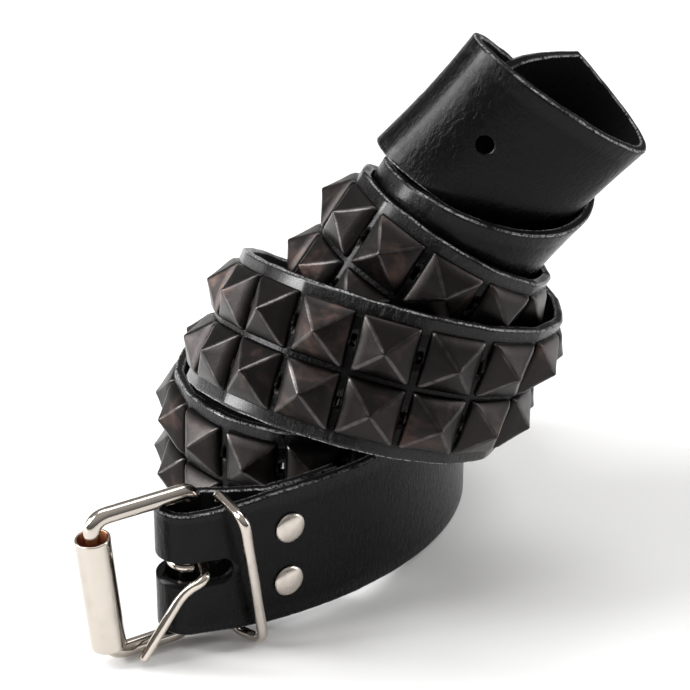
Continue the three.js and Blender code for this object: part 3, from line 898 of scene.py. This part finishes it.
@dataclass
class StudRows:
    """Two rows of four-sided studs, pressed from sheet and clenched through the leather."""

    strap: Strap
    length: float = 15.05
    height: float = 6.4
    foot: float = 1.35
    inset: float = 0.25
    ridge_radius: float = 0.95
    corner_steps: int = 4
    prong_width: float = 2.3
    prong_thickness: float = 0.4
    prong_fold: float = 3.2

    def ring(self, half: float, z: float, radius: float) -> list[Vector]:
        """Returns one square ring with rounded corners."""
        radius = min(radius, half * 0.7)
        flat = half - radius
        arcs = []
        for quarter, (x, y) in enumerate(((1, 1), (-1, 1), (-1, -1), (1, -1))):
            start = math.pi / 2 * quarter
            arcs.append([Vector((x * flat + radius * math.cos(start + t),
                                 y * flat + radius * math.sin(start + t), z))
                         for t in steps(0, math.pi / 2, self.corner_steps)])
        points = []
        for arc, after in zip(arcs, arcs[1:] + arcs[:1]):
            points += [*arc, arc[-1].lerp(after[0], 0.33), arc[-1].lerp(after[0], 0.67)]
        return points

    def shape(self) -> bpy.types.Object:
        """Returns one stud at the origin, standing along +Z."""
        half = self.length / 2
        slope = self.height - self.foot
        rows = [(half - 0.5, -0.2, 0.5), (half - 0.05, -0.2, 0.6), (half, 0.1, 0.7),
                (half - self.inset * 0.8, self.foot - 0.45, 0.7),
                (half - self.inset - 0.12, self.foot - 0.05, 0.75),
                (half - self.inset - 0.5, self.foot + 0.28, 0.8)]
        for share in (0.86, 0.66, 0.46, 0.28, 0.15, 0.07):
            droop = 0.1 * math.sin(math.pi * share)
            rows.append((share * half, self.foot + slope * (1 - share) - droop,
                         self.ridge_radius))
        points: list[Vector] = []
        ridge: list[float] = []
        for size, z, radius in rows:
            points += self.ring(size, z, radius)
            ridge += [0.35, *[1.0] * (self.corner_steps - 1), 0.35, 0.0, 0.0] * 4
        count = len(points) // len(rows)
        faces = quads(len(rows), count)
        points.append(Vector((0, 0, self.height - 0.12)))
        ridge.append(1.0)
        top = (len(rows) - 1) * count
        faces += [[top + k, top + (k + 1) % count, len(points) - 1] for k in range(count)]
        faces.append(list(range(count)))
        self.add_prongs(points, ridge, faces, half)
        mesh = bpy.data.meshes.new("stud")
        mesh.from_pydata([p * MM for p in points], [], faces)
        give_mark(mesh, "ridge", ridge)
        outward(mesh)
        return linked("stud", mesh)

    def add_prongs(self, points: list[Vector], ridge: list[float], faces: Faces,
                   half: float) -> None:
        """Adds the two prongs, which go down through the leather and fold under it."""
        deep = -self.strap.thickness - 0.12
        wide, thick = self.prong_width / 2, self.prong_thickness
        for side in (1, -1):
            x = side * (half + 0.02)
            inner = x - side * thick
            fold = x - side * self.prong_fold
            outline = [(x, 0.3), (x, deep), (x - side * 0.3, deep - thick), (fold, deep - thick),
                       (fold, deep), (inner, deep), (inner, 0.3)]
            start = len(points)
            for y in (-wide, wide):
                points += [Vector((px, y, pz)) for px, pz in outline]
                ridge += [0.2] * len(outline)
            n = len(outline)
            faces += [list(range(start, start + n)), list(range(start + n, start + 2 * n))]
            faces += quads(2, n, start)

    def places(self) -> list[Station]:
        """Returns the stations of all studs."""
        strap = self.strap
        made = []
        for c in range(strap.stud_columns):
            left, right = strap.column(c)
            for row in (-strap.row_middle, strap.row_middle):
                a, b = left.at(row, strap.skin), right.at(row, strap.skin)
                made.append(Station.squared((a + b) / 2, (b - a).normalized(),
                                            left.across + right.across, left.length))
        return made

    def build(self, finish: Material) -> bpy.types.Object:
        """Makes both rows and dresses them."""
        places = self.places()
        tints = [noise.noise(Vector((i * 3.71, 0.4, 0))) for i in range(len(places))]
        spots = place_points("stud_spots", places, tints)
        stud = self.shape()
        piece = grown(spots, stud_tree(), {"Stud": stud, "Finish": finish}, "studs")
        for spare in (spots, stud):
            bpy.data.objects.remove(spare)
        dress(piece, finish, Body.BELT, "strap_leather")
        return piece


# Buckle end


@dataclass
class Buckle:
    """The bent wire frame, its roller, the prong and the keeper."""

    strap: Strap
    clear: float = 0.3
    wire: float = 4.4
    turn: float = 212.0
    reach_low: float = 22.7
    reach_high: float = 26.7
    bend: float = 5.0
    roller_diameter: float = 9.1
    roller_wall: float = 0.7
    roller_length: float = 32.6
    prong_diameter: float = 2.6
    keeper_diameter: float = 2.8
    floor_gap: float = 0.15
    # the frame's two ends, from the high bar: one under the fold, one behind it
    heel_top: float = 9.5
    top_end: Pair = (-2.2, 7.0)
    # right, out and up, from the ring, the fold and the middle of the slot
    prong_exit: Triple = (-1.2, 4.6, 0.3)
    # right, out and up, from the heel and the middle of the slot
    prong_bend: Triple = (-2.9, 9.0, -4.0)
    # right and out from the heel, and the gap over the floor
    prong_tip: Triple = (-14.43, 10.15, 0.2)
    # along the strap, out from it and up: from the low height, then from the high one
    keeper_low: tuple[Triple, ...] = (
        (12.2, -3.3, 4.6), (12.4, -3.3, 0), (16.4, 5.4, 0))
    keeper_high: tuple[Triple, ...] = (
        (9.6, 11.6, 0), (8.2, -3.6, 0), (8.2, -3.6, -5))

    def __post_init__(self) -> None:
        """Works out the heights of the frame's two bars."""
        strap = self.strap
        self.low_bar = self.wire / 2 + self.floor_gap
        self.high_bar = (strap.fold.point.z + strap.half - strap.high_taper + self.wire / 2
                         + 2 * self.clear)
        angle = math.radians(self.turn)
        self.away = Vector((math.cos(angle), math.sin(angle), 0))

    def frame_at(self, reach: float, z: float) -> Vector:
        """Returns a point of the frame's plane."""
        return self.strap.heel + self.away * reach + UP * z

    def heel_at(self, right: float, out: float, z: float) -> Vector:
        """Returns a point beside the heel bar."""
        fold = self.strap.fold
        return self.strap.heel + fold.travel * right + fold.outward * out + UP * z

    def beside(self, length: float, out: float, z: float) -> Vector:
        """Returns a point beside the strap at a length from the fold."""
        station = self.strap.coil.at(length)
        point = station.point + station.outward * out
        return Vector((point.x, point.y, z))

    def frame(self) -> bpy.types.Object:
        """Returns the bent frame."""
        behind, down = self.top_end
        path = rounded([
            self.frame_at(0, self.high_bar - self.heel_top), self.frame_at(0, self.low_bar),
            self.frame_at(self.reach_low, self.low_bar),
            self.frame_at(self.reach_high, self.high_bar),
            self.frame_at(behind, self.high_bar), self.frame_at(behind, self.high_bar - down),
        ], self.bend)
        return mesh_object("frame_wire", *tube(path, self.wire / 2, 32))

    def roller(self) -> bpy.types.Object:
        """Returns the roller, a tube with softly rolled ends."""
        low = self.frame_at(self.reach_low, self.low_bar)
        high = self.frame_at(self.reach_high, self.high_bar)
        outer, wall, half = self.roller_diameter / 2, self.roller_wall, self.roller_length / 2
        inner = outer - wall
        rolled = [(inner, 0.15), (inner + 0.15, 0), (outer - 0.2, 0), (outer - 0.04, 0.1),
                  (outer, 0.35), (outer, 1.2)]
        profile = [(r, -half + z) for r, z in rolled]
        profile += [(outer, z) for z in steps(-half + 4, half - 4, 6)]
        profile += [(r, half - z) for r, z in reversed(rolled)]
        points, faces = turned(profile, low.lerp(high, 0.47), (high - low).normalized(), 64)
        inside = [1.0 if r <= inner + 0.01 else (0.5 if r < inner + 0.2 else 0.0)
                  for r, _ in profile for _ in range(64)]
        return mesh_object("roller_tube", points, faces, {"inside": inside})

    def prong(self) -> bpy.types.Object:
        """Returns the prong: a ring on the heel bar and a bent shank."""
        radius = self.prong_diameter / 2
        ring = self.wire / 2 + self.clear + radius
        middle = self.strap.fold.point.z
        path = [self.heel_at(ring * math.cos(t), ring * math.sin(t), middle)
                for t in steps(math.radians(-285), 0, 30)]
        end = path.pop()
        right, out, rise = self.prong_exit
        leaving = self.heel_at(ring + right, self.strap.fold_radius + out, middle + rise)
        right, out, rise = self.prong_bend
        bent = self.heel_at(right, out, middle + rise)
        right, out, rise = self.prong_tip
        path += rounded([end, leaving, bent, self.heel_at(right, out, radius + rise)], 5)
        return mesh_object("prong_wire", *tube(path, radius, 24))

    def keeper(self) -> bpy.types.Object:
        """Returns the keeper, a bent wire across the front."""
        radius = self.keeper_diameter / 2
        low = radius + self.floor_gap
        high = (self.strap.coil.at(10).point.z + self.strap.edges(10)[1] + radius
                + 2 * self.clear)
        path = [self.beside(length, out, low + rise) for length, out, rise in self.keeper_low]
        path += [self.beside(length, out, high + rise) for length, out, rise in self.keeper_high]
        return mesh_object("keeper_wire", *tube(rounded(path, 4), radius, 24))

    def rivet(self, name: str, across: float) -> bpy.types.Object:
        """Returns one rivet with its domed cap and the flat cap behind."""
        station = self.strap.coil.at(self.strap.rivet_from_fold)
        stack = 2 * self.strap.thickness + self.strap.layer_gap
        cap, shank, back = 8.5 / 2, 1.8, 3.6
        profile = [(0, -stack - 1.0), (back * 0.7, -stack - 0.95), (back - 0.15, -stack - 0.8),
                   (back, -stack - 0.5), (back - 0.1, -stack - 0.1), (shank, -stack - 0.1),
                   (shank, 0.05), (cap - 0.3, 0.02), (cap - 0.06, 0.1), (cap, 0.32),
                   (cap - 0.12, 0.58), (cap * 0.88, 0.86), (cap * 0.68, 1.18),
                   (cap * 0.42, 1.42), (cap * 0.18, 1.54), (0, 1.57)]
        place = station.at(across, self.strap.skin)
        return mesh_object(name, *turned(profile, place, station.outward))

    def build(self, finishes: dict[str, Material]) -> None:
        """Makes and dresses every metal piece of the buckle end."""
        for piece, body, slot, node in (
                (self.frame(), Body.FRAME, "frame_nickel", "buckle_frame"),
                (self.roller(), Body.ROLLER, "roller_nickel", "roller"),
                (self.prong(), Body.PRONG, "prong_nickel", "prong"),
                (self.keeper(), Body.KEEPER, "keeper_nickel", "keeper"),
                (self.rivet("rivet_cap_upper", self.strap.rivet_spacing / 2), Body.BELT,
                 "rivet_nickel", "rivet_upper"),
                (self.rivet("rivet_cap_lower", -self.strap.rivet_spacing / 2), Body.BELT,
                 "rivet_nickel", "rivet_lower")):
            dress(piece, finishes[slot], body, slot, node)


# Studio


@dataclass
class Studio:
    """A pale floor, soft light and the camera."""

    elevation: float = 26.8745
    distance: float = 709.107
    target: Triple = (-4.335, -2.285, 60.0)
    focal_pixels: float = 2685.82
    image_pixels: int = 690
    sensor: float = 36.0
    floor_reach: float = 4.0
    floor_drop: float = 2e-4
    # name, place, size and power of each light
    lights: tuple[tuple, ...] = (
        ("key", (-0.85, -0.2, 0.75), (0.35, 0.8), 10.0),
        ("fill", (0.95, 0.05, 0.45), (0.3, 0.7), 4.5),
        ("side", (-0.9, 0.05, 0.3), (0.22, 0.45), 8.0),
        ("top", (0.0, 0.4, 1.15), (0.9, 0.4), 5.0),
    )

    def floor(self) -> None:
        """Lays a large pale floor just under the belt."""
        mesh = bpy.data.meshes.new("floor")
        far = self.floor_reach
        corners = [(x * far, y * far, -self.floor_drop)
                   for x, y in ((-1, -1), (1, -1), (1, 1), (-1, 1))]
        mesh.from_pydata(corners, [], [[0, 1, 2, 3]])
        made = linked("floor", mesh)
        maker = NodeMaker("floor_white")
        made.data.materials.append(maker.finish(
            Base_Color=(0.93, 0.93, 0.93, 1), Roughness=0.9, Specular_IOR_Level=0.1))

    def lamp(self, name: str, place: Triple, size: Pair, power: float) -> None:
        """Hangs one soft rectangular light that faces the belt."""
        data = bpy.data.lights.new(name, "AREA")
        data.shape, data.size, data.size_y, data.energy = "RECTANGLE", size[0], size[1], power
        made = linked(name, data)
        made.location = place
        aim = Vector((0, 0, 0.06)) - Vector(place)
        made.rotation_euler = aim.to_track_quat("-Z", "Y").to_euler()

    def sky(self) -> None:
        """Gives a surround that is dim at the horizon and pale overhead."""
        world = bpy.data.worlds.new("surround")
        world.use_nodes = True
        writer = TreeWriter(world.node_tree)
        way = writer.add("ShaderNodeTexCoord", output="Generated")
        height = writer.add("ShaderNodeSeparateXYZ", None, [way], "Z")
        level = writer.add("ShaderNodeMapRange", None, {
            "Value": height, "From Min": -0.05, "From Max": 0.9, "To Min": 0.05, "To Max": 0.55})
        background = world.node_tree.nodes["Background"]
        background.inputs["Color"].default_value = (1, 0.985, 0.965, 1)
        writer.feed(background.inputs["Strength"], level)
        bpy.context.scene.world = world

    def camera(self) -> None:
        """Sets the camera at the photographed angle."""
        data = bpy.data.cameras.new("camera")
        data.sensor_width = self.sensor
        data.lens = self.focal_pixels / self.image_pixels * self.sensor
        tilt = math.radians(self.elevation)
        back = Vector((0, -math.cos(tilt), math.sin(tilt)))
        made = linked("camera", data)
        made.location = (Vector(self.target) + back * self.distance) * MM
        made.rotation_euler = Euler((math.pi / 2 - tilt, 0, 0))
        bpy.context.scene.camera = made

    def build(self) -> None:
        """Sets up the whole studio."""
        self.camera()
        self.floor()
        self.sky()
        for name, place, size, power in self.lights:
            self.lamp(name, place, size, power)
        bpy.context.scene.view_settings.view_transform = "Standard"


def main(build_studio: Callable[[], None]) -> None:
    """Builds the belt's pieces in order."""
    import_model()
    strap = Strap(Coil())
    finishes = {
        "frame_nickel": NickelFinish("frame_nickel", (0.54, 0.49, 0.44)).build(),
        "roller_nickel": NickelFinish("roller_nickel", (0.56, 0.51, 0.455), 0.17).build(),
        "prong_nickel": NickelFinish("prong_nickel", (0.60, 0.54, 0.48)).build(),
        "keeper_nickel": NickelFinish("keeper_nickel", (0.54, 0.49, 0.44)).build(),
        "rivet_nickel": NickelFinish("rivet_nickel", (0.66, 0.60, 0.54), 0.27).build(),
    }
    strap.build(LeatherFinish().build())
    StudRows(strap).build(StudFinish().build())
    Buckle(strap).build(finishes)
    build_studio()


if __name__ == "__main__":
    logging.basicConfig(level=logging.INFO)
    main(Studio().build)
